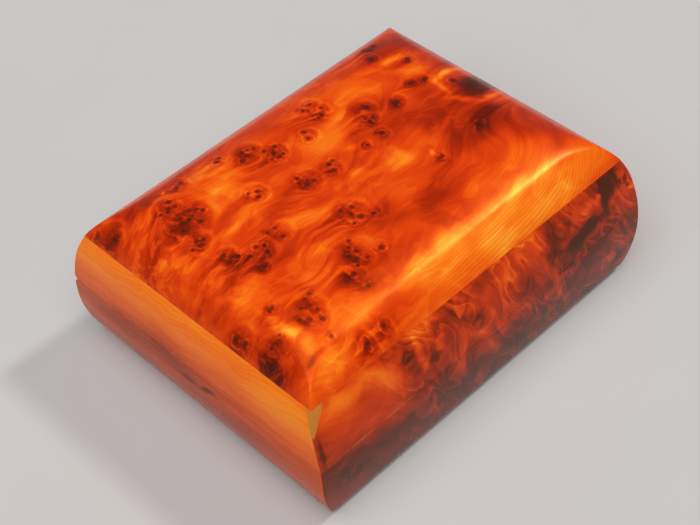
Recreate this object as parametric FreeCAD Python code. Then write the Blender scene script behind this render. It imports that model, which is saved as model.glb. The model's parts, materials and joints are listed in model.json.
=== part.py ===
import FreeCAD, Part
import math
import os

# Keepsake box with a domed burl lid: curved side boards mitred at the corners, a thick domed
# board over the lid frame, a thin board under the base, and two small butt hinges at the back.
# Sizes are in millimetres. The origin is on the table under the middle of the closed box.
# +X runs along the long front side, +Y points to the back and +Z up.

Vector = FreeCAD.Vector

# Outside of the closed box
box_length = 165.0              # across the ends, where they bulge most
box_width = 130.5               # from front to back, where they bulge most
widest_level = 23.5             # height of that bulge above the table
base_height = 31.0              # top edge of the base boards
lid_gap = 0.1                   # hairline between base and lid
lid_side_height = 22.4          # height of the boards of the lid frame
top_board_thickness = 14.0      # domed board, at its middle

# Curves of the outside in section
front_bulge_radius = 67.0       # front and back, above the widest level
end_bulge_radius = 140.0        # ends, above the widest level
shoulder_radius = 27.0          # where the sides turn over into the top
front_tuck_radius = 100.0       # front and back, under the widest level
end_tuck_radius = 48.0          # ends, under the widest level
foot_radius = 5.5               # round along the bottom edge

# Boards
wall_thickness = 14.0           # from the widest line of the outside to the inner face
bottom_thickness = 4.0          # thin board that closes the base
rebate_width = 2.5              # ledge in the side boards over the thin board
bottom_gap = 0.1                # play between the thin board and its rebate, each side
near_mitre_overlap = 2.3        # how far the front board of the lid laps round the near corner
patch_width = 5.2               # let-in wedge of pale wood: along the top seam
patch_height = 8.5              # down the corner, to its tip on the crease
patch_depth = 5.0               # into the front board

# Hinges
hinge_spacing = 92.0            # between the middles of the two hinges
hinge_length = 22.0
leaf_width = 9.0                # from the pin's axis to the far edge of a leaf
leaf_thickness = 1.0
knuckle_radius = 1.7
knuckle_count = 5
knuckle_gap = 0.15              # along the pin, between neighbouring knuckles
barrel_gap = 0.3                # free space round the barrel
mortise_gap = 0.1               # play of a leaf in its mortise
pin_radius = 0.8
pin_play = 0.05                 # between the pin and the knuckles of the lid leaf
stop_angle = 97.0               # opening at which the bevels along the back meet

# Screws
screw_spacing = 13.0            # between the two screws of a leaf
screw_setback = 5.6             # from the pin's axis
screw_length = 7.5
screw_head_radius = 1.5
screw_head_height = 0.8
screw_shank_radius = 0.7
screw_tip_length = 1.4
screw_tip_radius = 0.15
screw_slot_width = 0.4
screw_slot_depth = 0.35

# Worked out from the sizes above
half_length = box_length / 2
half_width = box_width / 2
lid_level = base_height + lid_gap
seam_level = lid_level + lid_side_height
crown_level = seam_level + top_board_thickness
axis_level = base_height + lid_gap / 2
half_inside_length = half_length - wall_thickness
half_inside_width = half_width - wall_thickness

# How far tools run past the wood they cut
overcut = 1.0
far = box_length + box_width


def shoulder_angle(bulge_radius):
    """Slope angle at which the bulge turns into the shoulder."""
    rise = crown_level - shoulder_radius - widest_level
    return math.asin(rise / (bulge_radius - shoulder_radius))


def foot_angle(tuck_radius):
    """Slope angle at which the tuck turns into the round of the foot."""
    drop = widest_level - foot_radius
    return math.asin(drop / (tuck_radius - foot_radius))


def inset_at(level, bulge_radius, tuck_radius):
    """How far the outside stands back from its widest line at a height."""
    if level >= widest_level:
        turn = shoulder_angle(bulge_radius)
        rise = level - widest_level
        if rise <= bulge_radius * math.sin(turn):
            return bulge_radius - math.sqrt(bulge_radius ** 2 - rise ** 2)
        middle = bulge_radius - (bulge_radius - shoulder_radius) * math.cos(turn)
        up = level - (crown_level - shoulder_radius)
        return middle - math.sqrt(shoulder_radius ** 2 - up ** 2)
    turn = foot_angle(tuck_radius)
    drop = widest_level - level
    if drop <= tuck_radius * math.sin(turn):
        return tuck_radius - math.sqrt(tuck_radius ** 2 - drop ** 2)
    middle = tuck_radius - (tuck_radius - foot_radius) * math.cos(turn)
    return middle - math.sqrt(foot_radius ** 2 - (foot_radius - level) ** 2)


def arc_edge(place, middle, level, radius, start, end):
    """Arc in the section plane. Angles are from the outward direction, upwards positive."""
    points = []
    for angle in (start, (start + end) / 2, end):
        points.append(place(middle + radius * math.cos(angle), level + radius * math.sin(angle)))
    return Part.Arc(*points).toShape()


def side_edges(place, half_span, bulge_radius, tuck_radius):
    """One side of the section, from the flat of the foot to the flat of the crown."""
    low = foot_angle(tuck_radius)
    high = shoulder_angle(bulge_radius)
    foot_middle = half_span - tuck_radius + (tuck_radius - foot_radius) * math.cos(low)
    shoulder_middle = half_span - bulge_radius + (bulge_radius - shoulder_radius) * math.cos(high)
    right_angle = math.pi / 2
    return [
        arc_edge(place, foot_middle, foot_radius, foot_radius, -right_angle, -low),
        arc_edge(place, half_span - tuck_radius, widest_level, tuck_radius, -low, 0),
        arc_edge(place, half_span - bulge_radius, widest_level, bulge_radius, 0, high),
        arc_edge(place, shoulder_middle, crown_level - shoulder_radius, shoulder_radius, high, right_angle),
    ]


def outside_section(place, half_span, bulge_radius, tuck_radius):
    """Face of the whole section. place turns an outward distance and a height into a point."""
    right = side_edges(place, half_span, bulge_radius, tuck_radius)
    left = side_edges(lambda out, level: place(-out, level), half_span, bulge_radius, tuck_radius)
    crown = Part.makeLine(right[-1].Vertexes[-1].Point, left[-1].Vertexes[-1].Point)
    foot = Part.makeLine(left[0].Vertexes[0].Point, right[0].Vertexes[0].Point)
    return Part.Face(Part.Wire(right + [crown] + left[::-1] + [foot]))


def make_outside():
    """Closed box as one block: the section of the ends crossed with that of the front and back."""
    y_start = -half_width - overcut
    x_start = -half_length - overcut
    along_y = outside_section(
        lambda out, level: Vector(out, y_start, level), half_length, end_bulge_radius, end_tuck_radius
    ).extrude(Vector(0, -2 * y_start, 0))
    along_x = outside_section(
        lambda out, level: Vector(x_start, out, level), half_width, front_bulge_radius, front_tuck_radius
    ).extrude(Vector(-2 * x_start, 0, 0))
    return along_y.common(along_x)


def block(x_half, y_half, low, high):
    """Box centred on the vertical axis, between two heights."""
    return Part.makeBox(2 * x_half, 2 * y_half, high - low, Vector(-x_half, -y_half, low))


def pin_axis_y():
    """The barrel lies flush with the back at the parting line."""
    back = half_width - inset_at(axis_level, front_bulge_radius, front_tuck_radius)
    return back - knuckle_radius


def back_bevels():
    """Groove along the back whose two slopes meet when the lid is open, and stop it."""
    reach = half_width - pin_axis_y() + overcut
    spread = reach * math.tan(math.radians(stop_angle / 2))
    corners = [
        Vector(-far, pin_axis_y(), axis_level),
        Vector(-far, pin_axis_y() + reach, axis_level - spread),
        Vector(-far, pin_axis_y() + reach, axis_level + spread),
    ]
    return Part.Face(Part.makePolygon(corners + corners[:1])).extrude(Vector(2 * far, 0, 0))


def make_frame(outside, low, high):
    """Four boards in one, before their mitres are cut."""
    frame = outside.common(block(far, far, low, high))
    frame = frame.cut(block(half_inside_length, half_inside_width, low - overcut, high + overcut))
    return frame.cut(back_bevels())


def crease_lean(level):
    """How far the corner crease stands off the true mitre at a height."""
    front = inset_at(level, front_bulge_radius, front_tuck_radius)
    end = inset_at(level, end_bulge_radius, end_tuck_radius)
    return front - end


def end_side(corner_x, corner_y, low, high, lean_low, lean_high):
    """Space on the end board's side of a mitre. The joint follows the crease from low to high."""
    inward = Vector(-corner_x, -corner_y, 0) * math.sqrt(0.5)
    to_end = Vector(corner_x, -corner_y, 0) * math.sqrt(0.5)
    corner = Vector(corner_x * half_length, corner_y * half_width, 0)
    slope = (lean_high - lean_low) / (high - low)

    def joint(level):
        shift = (lean_low + slope * (level - low)) * math.sqrt(0.5)
        return corner + to_end * shift + Vector(0, 0, level)

    bottom = joint(low - overcut)
    top = joint(high + overcut)
    corners = [bottom, bottom + to_end * far, top + to_end * far, top]
    start = [point - inward * far for point in corners]
    return Part.Face(Part.makePolygon(start + start[:1])).extrude(inward * (2 * far))


def make_boards(frame, low, high, near_overlap):
    """Front, back, left and right boards of a frame, parted at the four mitres."""
    ends = {}
    for corner_x in (-1, 1):
        for corner_y in (-1, 1):
            overlap = near_overlap if (corner_x, corner_y) == (-1, -1) else 0
            ends[corner_x, corner_y] = end_side(
                corner_x, corner_y, low, high, crease_lean(low), crease_lean(high) + overlap
            )
    return {
        "front_board": frame.cut([ends[-1, -1], ends[1, -1]]),
        "back_board": frame.cut([ends[-1, 1], ends[1, 1]]),
        "left_board": frame.common(ends[-1, -1]).common(ends[-1, 1]),
        "right_board": frame.common(ends[1, -1]).common(ends[1, 1]),
    }


def patch_space():
    """Wedge at the top of the near corner that the pale patch fills."""
    tip_level = seam_level - patch_height
    tip_x = -half_length + inset_at(tip_level, end_bulge_radius, end_tuck_radius)
    seam_x = -half_length + inset_at(seam_level, end_bulge_radius, end_tuck_radius) + patch_width
    front_inset = inset_at(seam_level, front_bulge_radius, front_tuck_radius)
    left_x = -half_length - overcut
    right_x = seam_x + (seam_x - tip_x) * overcut / patch_height
    front_y = -half_width - overcut
    corners = [
        Vector(left_x, front_y, seam_level + overcut),
        Vector(right_x, front_y, seam_level + overcut),
        Vector(tip_x, front_y, tip_level),
        Vector(left_x, front_y, tip_level),
    ]
    depth = overcut + front_inset + patch_depth
    return Part.Face(Part.makePolygon(corners + corners[:1])).extrude(Vector(0, depth, 0))


def make_bottom_panel():
    margin = rebate_width - bottom_gap
    return block(half_inside_length + margin, half_inside_width + margin, 0, bottom_thickness)


def bottom_rebate():
    x_half = half_inside_length + rebate_width
    y_half = half_inside_width + rebate_width
    return block(x_half, y_half, -overcut, bottom_thickness)


def hinge_cylinder(middle_x, radius, length):
    """Cylinder on the pin's axis."""
    start = Vector(middle_x - length / 2, pin_axis_y(), axis_level)
    return Part.makeCylinder(radius, length, start, Vector(1, 0, 0))


def leaf_levels(upper):
    """Lower and upper face of a leaf, flush with the edge of its board."""
    if upper:
        return lid_level, lid_level + leaf_thickness
    return base_height - leaf_thickness, base_height


def make_leaf(middle_x, upper):
    """Leaf with its knuckles. The base leaf has the outer knuckles, the lid leaf the others."""
    low, high = leaf_levels(upper)
    height = high - low
    barrel_side = pin_axis_y() - knuckle_radius - barrel_gap
    start_x = middle_x - hinge_length / 2
    start_y = pin_axis_y() - leaf_width
    leaf = Part.makeBox(hinge_length, barrel_side - start_y, height, Vector(start_x, start_y, low))
    pitch = (hinge_length + knuckle_gap) / knuckle_count
    for index in range(1 if upper else 0, knuckle_count, 2):
        knuckle_x = start_x + index * pitch
        knuckle_length = pitch - knuckle_gap
        web = Part.makeBox(
            knuckle_length, pin_axis_y() - barrel_side, height, Vector(knuckle_x, barrel_side, low)
        )
        barrel = hinge_cylinder(knuckle_x + knuckle_length / 2, knuckle_radius, knuckle_length)
        leaf = leaf.fuse(web).fuse(barrel)
    bore_radius = pin_radius + pin_play if upper else pin_radius
    leaf = leaf.cut(hinge_cylinder(middle_x, bore_radius, hinge_length + 2 * overcut))
    return leaf.removeSplitter()


def make_pin(middle_x):
    return hinge_cylinder(middle_x, pin_radius, hinge_length)


def hinge_recess(middle_x, upper):
    """Wood taken out of a back board for one leaf and the barrel."""
    low, high = leaf_levels(upper)
    length = hinge_length + 2 * mortise_gap
    start = Vector(middle_x - length / 2, pin_axis_y() - leaf_width - mortise_gap, low)
    mortise = Part.makeBox(length, leaf_width + mortise_gap, high - low, start)
    barrel = hinge_cylinder(middle_x, knuckle_radius + barrel_gap, length)
    return mortise.fuse(barrel)


def screw_blank(place, direction):
    """Countersunk screw without its slot. The head is at place, the tip points along direction."""
    outline = [
        Vector(0, 0, 0),
        Vector(screw_head_radius, 0, 0),
        Vector(screw_shank_radius, 0, screw_head_height),
        Vector(screw_shank_radius, 0, screw_length - screw_tip_length),
        Vector(screw_tip_radius, 0, screw_length),
        Vector(0, 0, screw_length),
    ]
    points = [Vector(point.x, 0, point.z * direction) for point in outline]
    face = Part.Face(Part.makePolygon(points + points[:1]))
    screw = face.revolve(Vector(0, 0, 0), Vector(0, 0, 1), 360)
    screw.translate(place)
    return screw


def cut_slot(screw, place, direction):
    depth = screw_slot_depth + overcut
    corner = Vector(-screw_head_radius, -screw_slot_width / 2, 0)
    corner.z = -overcut if direction > 0 else -screw_slot_depth
    slot = Part.makeBox(2 * screw_head_radius, screw_slot_width, depth, place + corner)
    return screw.cut(slot)


def screw_places(middle_x, upper):
    level = lid_level if upper else base_height
    places = []
    for side in (-1, 1):
        places.append(Vector(middle_x + side * screw_spacing / 2, pin_axis_y() - screw_setback, level))
    return places


def make_hinge_side(upper, board):
    """Both leaves of one side with their screws, and the back board cut to take them."""
    direction = 1 if upper else -1
    leaves = {}
    screws = []
    for name, side in (("left", -1), ("right", 1)):
        middle_x = side * hinge_spacing / 2
        leaf = make_leaf(middle_x, upper)
        board = board.cut(hinge_recess(middle_x, upper))
        for place in screw_places(middle_x, upper):
            blank = screw_blank(place, direction)
            leaf = leaf.cut(blank)
            board = board.cut(blank)
            screws.append(cut_slot(blank, place, direction))
        leaves[name] = leaf
    return leaves, screws, board


def build():
    """All nodes of the box, by name."""
    nodes = {}
    outside = make_outside()
    nodes["top_panel"] = outside.common(block(far, far, seam_level, crown_level + overcut))

    lid_frame = make_frame(outside, lid_level, seam_level)
    for name, board in make_boards(lid_frame, lid_level, seam_level, near_mitre_overlap).items():
        nodes["lid_" + name] = board
    nodes["corner_patch"] = nodes["lid_front_board"].common(patch_space())
    nodes["lid_front_board"] = nodes["lid_front_board"].cut(patch_space())

    base_frame = make_frame(outside, 0, base_height).cut(bottom_rebate())
    for name, board in make_boards(base_frame, 0, base_height, 0).items():
        nodes["base_" + name] = board
    nodes["bottom_panel"] = make_bottom_panel()

    for body, upper in (("base", False), ("lid", True)):
        leaves, screws, board = make_hinge_side(upper, nodes[body + "_back_board"])
        nodes[body + "_back_board"] = board
        nodes[body + "_hinge_screws"] = Part.makeCompound(screws)
        for side, leaf in leaves.items():
            nodes[side + "_hinge_" + body + "_leaf"] = leaf
    for side, sign in (("left", -1), ("right", 1)):
        nodes[side + "_hinge_pin"] = make_pin(sign * hinge_spacing / 2)
    return nodes


os.makedirs("parts", exist_ok=True)
for node_name, node_shape in build().items():
    node_shape.exportStep("parts/" + node_name + ".step")
    box = node_shape.BoundBox
    print(
        node_name, len(node_shape.Solids), "solids", round(node_shape.Volume, 1), "mm3",
        [round(value, 2) for value in (box.XMin, box.XMax, box.YMin, box.YMax, box.ZMin, box.ZMax)],
    )
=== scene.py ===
import json
import math

import bmesh
import bpy
import numpy as np
from mathutils import Matrix, Vector, noise


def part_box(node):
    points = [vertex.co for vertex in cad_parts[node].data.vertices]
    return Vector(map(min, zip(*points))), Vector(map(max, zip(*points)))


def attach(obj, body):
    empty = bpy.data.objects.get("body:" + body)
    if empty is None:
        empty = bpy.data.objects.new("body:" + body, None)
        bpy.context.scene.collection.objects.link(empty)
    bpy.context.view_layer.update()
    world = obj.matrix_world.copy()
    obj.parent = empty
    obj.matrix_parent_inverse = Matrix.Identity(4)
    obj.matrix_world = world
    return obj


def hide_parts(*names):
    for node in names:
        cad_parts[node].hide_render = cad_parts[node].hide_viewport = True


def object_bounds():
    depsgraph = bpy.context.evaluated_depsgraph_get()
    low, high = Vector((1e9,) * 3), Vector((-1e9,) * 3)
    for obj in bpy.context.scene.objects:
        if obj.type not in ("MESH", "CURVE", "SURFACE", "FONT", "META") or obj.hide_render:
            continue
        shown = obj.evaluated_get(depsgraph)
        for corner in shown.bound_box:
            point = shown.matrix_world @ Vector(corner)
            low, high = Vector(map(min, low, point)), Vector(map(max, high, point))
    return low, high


# Keepsake box with a domed burl lid. Everything is in metres, in the frame of the solids.
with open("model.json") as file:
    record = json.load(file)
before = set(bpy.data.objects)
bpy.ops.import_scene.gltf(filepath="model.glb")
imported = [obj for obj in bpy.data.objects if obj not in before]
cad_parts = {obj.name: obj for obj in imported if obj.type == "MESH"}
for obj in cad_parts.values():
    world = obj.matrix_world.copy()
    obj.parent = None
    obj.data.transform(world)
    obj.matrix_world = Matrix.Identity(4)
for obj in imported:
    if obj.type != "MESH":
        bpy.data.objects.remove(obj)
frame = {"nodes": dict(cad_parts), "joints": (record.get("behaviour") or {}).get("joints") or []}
cad_low, cad_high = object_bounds()

MM = 0.001
SEED = 7
noise.seed_set(SEED)

# Sizes of the box, from the frame
half_length = cad_high.x
half_width = cad_high.y
crown_level = cad_high.z
seam_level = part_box("top_panel")[0].z
lid_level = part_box("lid_left_board")[0].z
base_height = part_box("base_left_board")[1].z
bottom_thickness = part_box("bottom_panel")[1].z
hinge_axis = Vector(frame["joints"][0]["pos_m"])

# Curves of the outside in section, as the solids have them
widest_level = 23.5 * MM
front_bulge = 67.0 * MM
end_bulge = 140.0 * MM
front_tuck = 100.0 * MM
end_tuck = 48.0 * MM
shoulder_radius = 27.0 * MM
foot_radius = 5.5 * MM
wall_thickness = 14.0 * MM
rebate_width = 2.5 * MM

# The near corner of the lid: lap of the front board and the let-in patch
near_lap = 2.3 * MM
patch_width = 5.2 * MM
patch_height = 8.5 * MM
patch_depth = 5.0 * MM

# Room for the hinges in the back boards
hinge_spacing = 92.0 * MM
mortise_length = 22.2 * MM
mortise_width = 9.1 * MM
leaf_thickness = 1.0 * MM
barrel_room = 2.0 * MM
barrel_sides = 48
mortise_slack = 0.02 * MM
bevel_angle = math.radians(97.0 / 2)

# Fine edges of the finished wood
parting_arris = 0.25 * MM
inner_arris = 0.5 * MM
corner_arris = 0.45 * MM
corner_margin = 0.3 * MM
crown_rise = 0.5 * MM
hip_softness = 5.0 * MM
row_step = 0.55 * MM
station_step = 0.55 * MM
dome_cells = 298
flat_share = 0.6
crisp_angle = math.radians(32)

# Distances within which points count as one or as lying on a cut
same_place = 1e-7
on_cut = 1e-6
merge_distance = 2e-6

# Sides of the box: outward direction, direction along the side, half spans and curves
SIDES = {
    "front": (Vector((0, -1, 0)), Vector((1, 0, 0)), half_width, half_length),
    "right": (Vector((1, 0, 0)), Vector((0, 1, 0)), half_length, half_width),
    "back": (Vector((0, 1, 0)), Vector((-1, 0, 0)), half_width, half_length),
    "left": (Vector((-1, 0, 0)), Vector((0, -1, 0)), half_length, half_width),
}
LONG_CURVE = (front_bulge, front_tuck)
END_CURVE = (end_bulge, end_tuck)


def shoulder_middle(half, bulge):
    """Distance from the middle of the box to the centre of the shoulder's arc."""
    rise = crown_level - shoulder_radius - widest_level
    turn = math.asin(rise / (bulge - shoulder_radius))
    return half - bulge + (bulge - shoulder_radius) * math.cos(turn)


def arc_inset(distance, reach, big, small):
    """Inset of a profile at distances from its widest line. A big arc runs into a small one, which
    lies level where the profile ends."""
    turn = math.asin((reach - small) / (big - small))
    on_big = np.clip(distance, 0, big * math.sin(turn))
    on_small = np.clip(distance - (reach - small), small * math.sin(turn), small)
    centre = big - (big - small) * math.cos(turn)
    return np.where(
        distance <= big * math.sin(turn),
        big - np.sqrt(big ** 2 - on_big ** 2),
        centre - np.sqrt(small ** 2 - on_small ** 2),
    )


def inset_at(level, curve):
    """How far the outside stands back from its widest line at some heights."""
    bulge, tuck = curve
    level = np.asarray(level, float)
    above = arc_inset(level - widest_level, crown_level - widest_level, bulge, shoulder_radius)
    below = arc_inset(widest_level - level, widest_level, tuck, foot_radius)
    return np.where(level >= widest_level, above, below)


# Shape of the side boards

def arris_points(radius, level, upward):
    """Shift inwards and level of the points of a rounded edge, from the flat face to the upright one."""
    points = []
    for turn in (0, 30, 60, 90):
        angle = math.radians(turn)
        points.append((radius * (1 - math.sin(angle)), level + upward * radius * (1 - math.cos(angle))))
    return points


def board_section(low, high, rebate):
    """Points round a board's section. Each has its share of the way from the inner face to the
    outside, the ledge that the share starts from, its level and its shift outwards. A board with a
    rebate belongs to the base and stands on its foot, and one without belongs to the lid."""
    across = np.linspace(0.1, 0.9, 5)
    if rebate:
        floor = low + bottom_thickness
        turns = np.linspace(0, math.pi / 2 - 0.25, 9)
        foot_levels = list(low + foot_radius * (1 - np.cos(turns)))
        first, last = foot_levels[-1], high - parting_arris
        rows = [(0, 0, floor, 0), (0, rebate_width, floor, 0), (0, rebate_width, low, 0)]
        rows += [(share, rebate_width, low, 0) for share in across]
        rows += [(1, rebate_width if level < floor else 0, level, 0) for level in foot_levels]
    else:
        floor = low
        first, last = low + parting_arris, high
        rows = [(0, 0, level, shift) for shift, level in arris_points(inner_arris, low, 1)[::-1]]
        rows += [(share, 0, low, 0) for share in across]
        rows += [(1, 0, level, -shift) for shift, level in arris_points(parting_arris, low, 1)]
    count = max(2, round((last - first) / row_step))
    rows += [(1, 0, level, 0) for level in np.linspace(first, last, count + 1)[1:-1]]
    if rebate:
        rows += [(1, 0, level, -shift) for shift, level in arris_points(parting_arris, high, -1)[::-1]]
    else:
        rows.append((1, 0, high, 0))
    rows += [(share, 0, high, 0) for share in np.linspace(0.95, 0.1, 6)]
    if rebate:
        rows += [(0, 0, level, shift) for shift, level in arris_points(inner_arris, high, -1)]
    else:
        rows.append((0, 0, high, 0))
    rows += [(0, 0, level, 0) for level in np.linspace(high - 1 * MM, floor + 1 * MM, 8)]
    return rows


def side_stations(half):
    """Distances from the corner crease of the stations along a side, each with its drop for the
    rounded corner."""
    rounding = []
    for turn in (45, 30, 15, 0):
        angle = math.radians(turn)
        rounding.append((corner_arris * (1 - math.sin(angle)), corner_arris * (1 - math.cos(angle))))
    first = rounding[-1][0] + corner_margin
    count = round((2 * half - 2 * first) / station_step)
    middle = [(place, 0) for place in np.linspace(first, 2 * half - first, count + 1)]
    return rounding + middle + [(2 * half - place, drop) for place, drop in rounding[::-1]]


def side_grid(side, rows):
    """Positions of a board's surface: rows round the section, stations along the side."""
    outward, along, half, other_half = SIDES[side]
    curve, other_curve = (LONG_CURVE, END_CURVE) if side in ("front", "back") else (END_CURVE, LONG_CURVE)
    share, ledge, level, shift = np.array(rows, float).T
    span = wall_thickness - inset_at(level, curve)
    other_span = wall_thickness - inset_at(level, other_curve)
    reach = half - wall_thickness + ledge + share * (span - ledge)
    end = other_half - wall_thickness + ledge + share * (other_span - ledge)
    place, drop = np.array(side_stations(other_half)).T
    part = place / (2 * other_half)
    part[0], part[-1] = 0, 1
    run = -end[:, None] + 2 * end[:, None] * part[None, :]
    outside = share[:, None] == 1
    tip = outside * drop[None, [0]]
    run[:, [0]] += tip
    run[:, [-1]] -= tip
    out = reach[:, None] + shift[:, None] - outside * drop[None, :]
    return (
        np.array(along)[None, None, :] * run[..., None]
        + np.array(outward)[None, None, :] * out[..., None]
        + np.array((0, 0, 1))[None, None, :] * level[:, None, None]
    )


def board_bmesh(sides, low, high, rebate):
    """Closed mesh of the boards of neighbouring sides, with their mitred ends."""
    rows = board_section(low, high, rebate)
    shape = bmesh.new()
    rings = []
    for side in sides:
        grid = side_grid(side, rows)
        vertices = [[shape.verts.new(point) for point in row] for row in grid]
        rings.append(vertices)
        for i in range(len(rows)):
            upper = vertices[(i + 1) % len(rows)]
            lower = vertices[i]
            for j in range(len(lower) - 1):
                shape.faces.new((lower[j], lower[j + 1], upper[j + 1], upper[j]))
    shape.faces.new([row[0] for row in rings[0]])
    shape.faces.new([row[-1] for row in rings[-1]][::-1])
    bmesh.ops.remove_doubles(shape, verts=shape.verts, dist=same_place)
    return shape


def keep_side(shape, point, normal):
    """Keeps what lies behind a plane and closes the cut."""
    everything = shape.verts[:] + shape.edges[:] + shape.faces[:]
    bmesh.ops.bisect_plane(
        shape, geom=everything, dist=on_cut, plane_co=point, plane_no=normal, clear_outer=True)
    rim = [edge for edge in shape.edges if edge.is_boundary]
    if rim:
        bmesh.ops.holes_fill(shape, edges=rim, sides=0)


def lap_plane():
    """Joint of the lid's near corner: it follows the crease and laps round it towards the top."""
    def joint(level, lap):
        lean = float(inset_at(level, LONG_CURVE) - inset_at(level, END_CURVE)) + lap
        return Vector((-half_length - lean / 2, -half_width + lean / 2, level))
    low = joint(lid_level, 0)
    high = joint(seam_level, near_lap)
    inward = Vector((1, 1, 0)).normalized()
    return low, inward.cross(high - low).normalized()


def patch_lines():
    """Tip of the let-in patch, the end of its slanted side on the seam, and how far in it reaches."""
    tip_level = seam_level - patch_height
    tip = Vector((-half_length + float(inset_at(tip_level, END_CURVE)), 0, tip_level))
    top = Vector((-half_length + float(inset_at(seam_level, END_CURVE)) + patch_width, 0, seam_level))
    depth = -half_width + float(inset_at(seam_level, LONG_CURVE)) + patch_depth
    return tip, top, depth


def patch_planes():
    """Planes that bound the patch: slanted side, lower edge and depth."""
    tip, top, depth = patch_lines()
    slant = top - tip
    return [
        (tip, Vector((slant.z, 0, -slant.x)).normalized()),
        (tip, Vector((0, 0, -1))),
        (Vector((0, depth, 0)), Vector((0, 1, 0))),
    ]


def patch_cutter():
    """Block that makes the room for the patch in the front board."""
    tip, top, depth = patch_lines()
    over = 2 * MM
    above = top + (top - tip) * (over / patch_height)
    left, front = -half_length - over, -half_width - over
    outline = ((left, above.z), (above.x, above.z), (tip.x, tip.z), (left, tip.z))
    corners = [(x, front, z) for x, z in outline]
    return prism_object(corners, Vector((0, depth - front, 0)))


def prism_object(corners, direction):
    """Straight block on an outline, to cut with."""
    shape = bmesh.new()
    start = [shape.verts.new(corner) for corner in corners]
    end = [shape.verts.new(Vector(corner) + direction) for corner in corners]
    shape.faces.new(start)
    shape.faces.new(end[::-1])
    for k in range(len(corners)):
        following = (k + 1) % len(corners)
        shape.faces.new((start[k], end[k], end[following], start[following]))
    bmesh.ops.recalc_face_normals(shape, faces=shape.faces)
    return as_object("cutter", shape)


def as_object(name, shape):
    mesh = bpy.data.meshes.new(name)
    shape.to_mesh(mesh)
    shape.free()
    piece = bpy.data.objects.new(name, mesh)
    bpy.context.scene.collection.objects.link(piece)
    return piece


def plain_mesh(piece):
    """Applies a piece's modifiers, and leaves a plain mesh."""
    bpy.context.view_layer.update()
    evaluated = piece.evaluated_get(bpy.context.evaluated_depsgraph_get())
    mesh = bpy.data.meshes.new_from_object(evaluated)
    piece.modifiers.clear()
    piece.data = mesh
    mesh.name = piece.name
    return piece


def cut_away(piece, cutters):
    for cutter in cutters:
        modifier = piece.modifiers.new("cut", "BOOLEAN")
        modifier.operation = "DIFFERENCE"
        modifier.solver = "EXACT"
        modifier.object = cutter
        plain_mesh(piece)
        bpy.data.objects.remove(cutter)
    return piece


def hinge_cutters(low, high):
    """Blocks and cylinders that make the room for the hinges in a back board."""
    cutters = []
    near, far = hinge_axis.y - mortise_width, hinge_axis.y
    for middle in (-hinge_spacing / 2, hinge_spacing / 2):
        start = middle - mortise_length / 2
        length = Vector((mortise_length, 0, 0))
        corners = [(start, near, low), (start, far, low), (start, far, high), (start, near, high)]
        cutters.append(prism_object(corners, length))
        ring = []
        for k in range(barrel_sides):
            angle = 2 * math.pi * k / barrel_sides
            across, up = barrel_room * math.cos(angle), barrel_room * math.sin(angle)
            ring.append((start, hinge_axis.y + across, hinge_axis.z + up))
        cutters.append(prism_object(ring, length))
    return cutters


def back_bevel(shape, upper):
    """Slope along the back that stops the open lid."""
    rise = 1 if upper else -1
    normal = Vector((0, math.sin(bevel_angle), -rise * math.cos(bevel_angle)))
    keep_side(shape, hinge_axis, normal)


def make_boards():
    """All eight side boards and the patch, by name."""
    boards = {}
    for body, low, high, rebate in (("base", 0, base_height, True), ("lid", lid_level, seam_level, False)):
        for side in SIDES:
            if body == "lid" and side in ("front", "left"):
                continue
            shape = board_bmesh([side], low, high, rebate)
            if side != "front":
                back_bevel(shape, body == "lid")
            boards[f"{body}_{side}"] = as_object(f"{body}_{side}", shape)
    lap_point, lap_normal = lap_plane()
    pair = board_bmesh(["left", "front"], lid_level, seam_level, False)
    left = pair.copy()
    back_bevel(left, True)
    keep_side(left, lap_point, lap_normal)
    boards["lid_left"] = as_object("lid_left", left)
    patch = pair.copy()
    keep_side(patch, lap_point, -lap_normal)
    for point, normal in patch_planes():
        keep_side(patch, point, normal)
    boards["corner_inlay"] = as_object("corner_inlay", patch)
    piece = cut_away(as_object("lid_front", pair), [patch_cutter()])
    front = bmesh.new()
    front.from_mesh(piece.data)
    keep_side(front, lap_point, -lap_normal)
    front.to_mesh(piece.data)
    front.free()
    boards["lid_front"] = piece
    cut_away(boards["lid_back"], hinge_cutters(lid_level - mortise_slack, lid_level + leaf_thickness))
    cut_away(boards["base_back"], hinge_cutters(base_height - leaf_thickness, base_height + mortise_slack))
    return boards


# Node trees

class Value:
    """Output of a node that can be reckoned with, together with other outputs or plain numbers."""

    def __init__(self, socket):
        self.socket = socket
        self.tree = socket.id_data

    def __add__(self, other):
        return calc("ADD", self, other)

    def __sub__(self, other):
        return calc("SUBTRACT", self, other)

    def __rsub__(self, other):
        return calc("SUBTRACT", other, self)

    def __mul__(self, other):
        return calc("MULTIPLY", self, other)

    def __truediv__(self, other):
        return calc("DIVIDE", self, other)

    def __rtruediv__(self, other):
        return calc("DIVIDE", other, self)

    def __pow__(self, other):
        return calc("POWER", self, other)

    def __abs__(self):
        return calc("ABSOLUTE", self)


def put(socket, value):
    """Gives an input a plain value or a link."""
    if isinstance(value, Value):
        value.tree.links.new(value.socket, socket)
    elif value is not None:
        socket.default_value = value


def add(tree, kind, inputs=(), **settings):
    """Adds a node, with settings by name and inputs by name or number."""
    node = tree.nodes.new(kind)
    for name, value in settings.items():
        setattr(node, name, value)
    for key, value in dict(inputs).items():
        put(node.inputs[key], value)
    return node


def value_of(tree, kind, inputs=(), output=0, **settings):
    """Adds a node, and returns one of its outputs."""
    return Value(add(tree, kind, inputs, **settings).outputs[output])


def named_values(sockets):
    return {socket.name: Value(socket) for socket in sockets}


def calc(operation, *values):
    """One step of arithmetic. At least one of the values comes from a node."""
    tree = next(value.tree for value in values if isinstance(value, Value))
    return value_of(tree, "ShaderNodeMath", dict(enumerate(values)), operation=operation)


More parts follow.
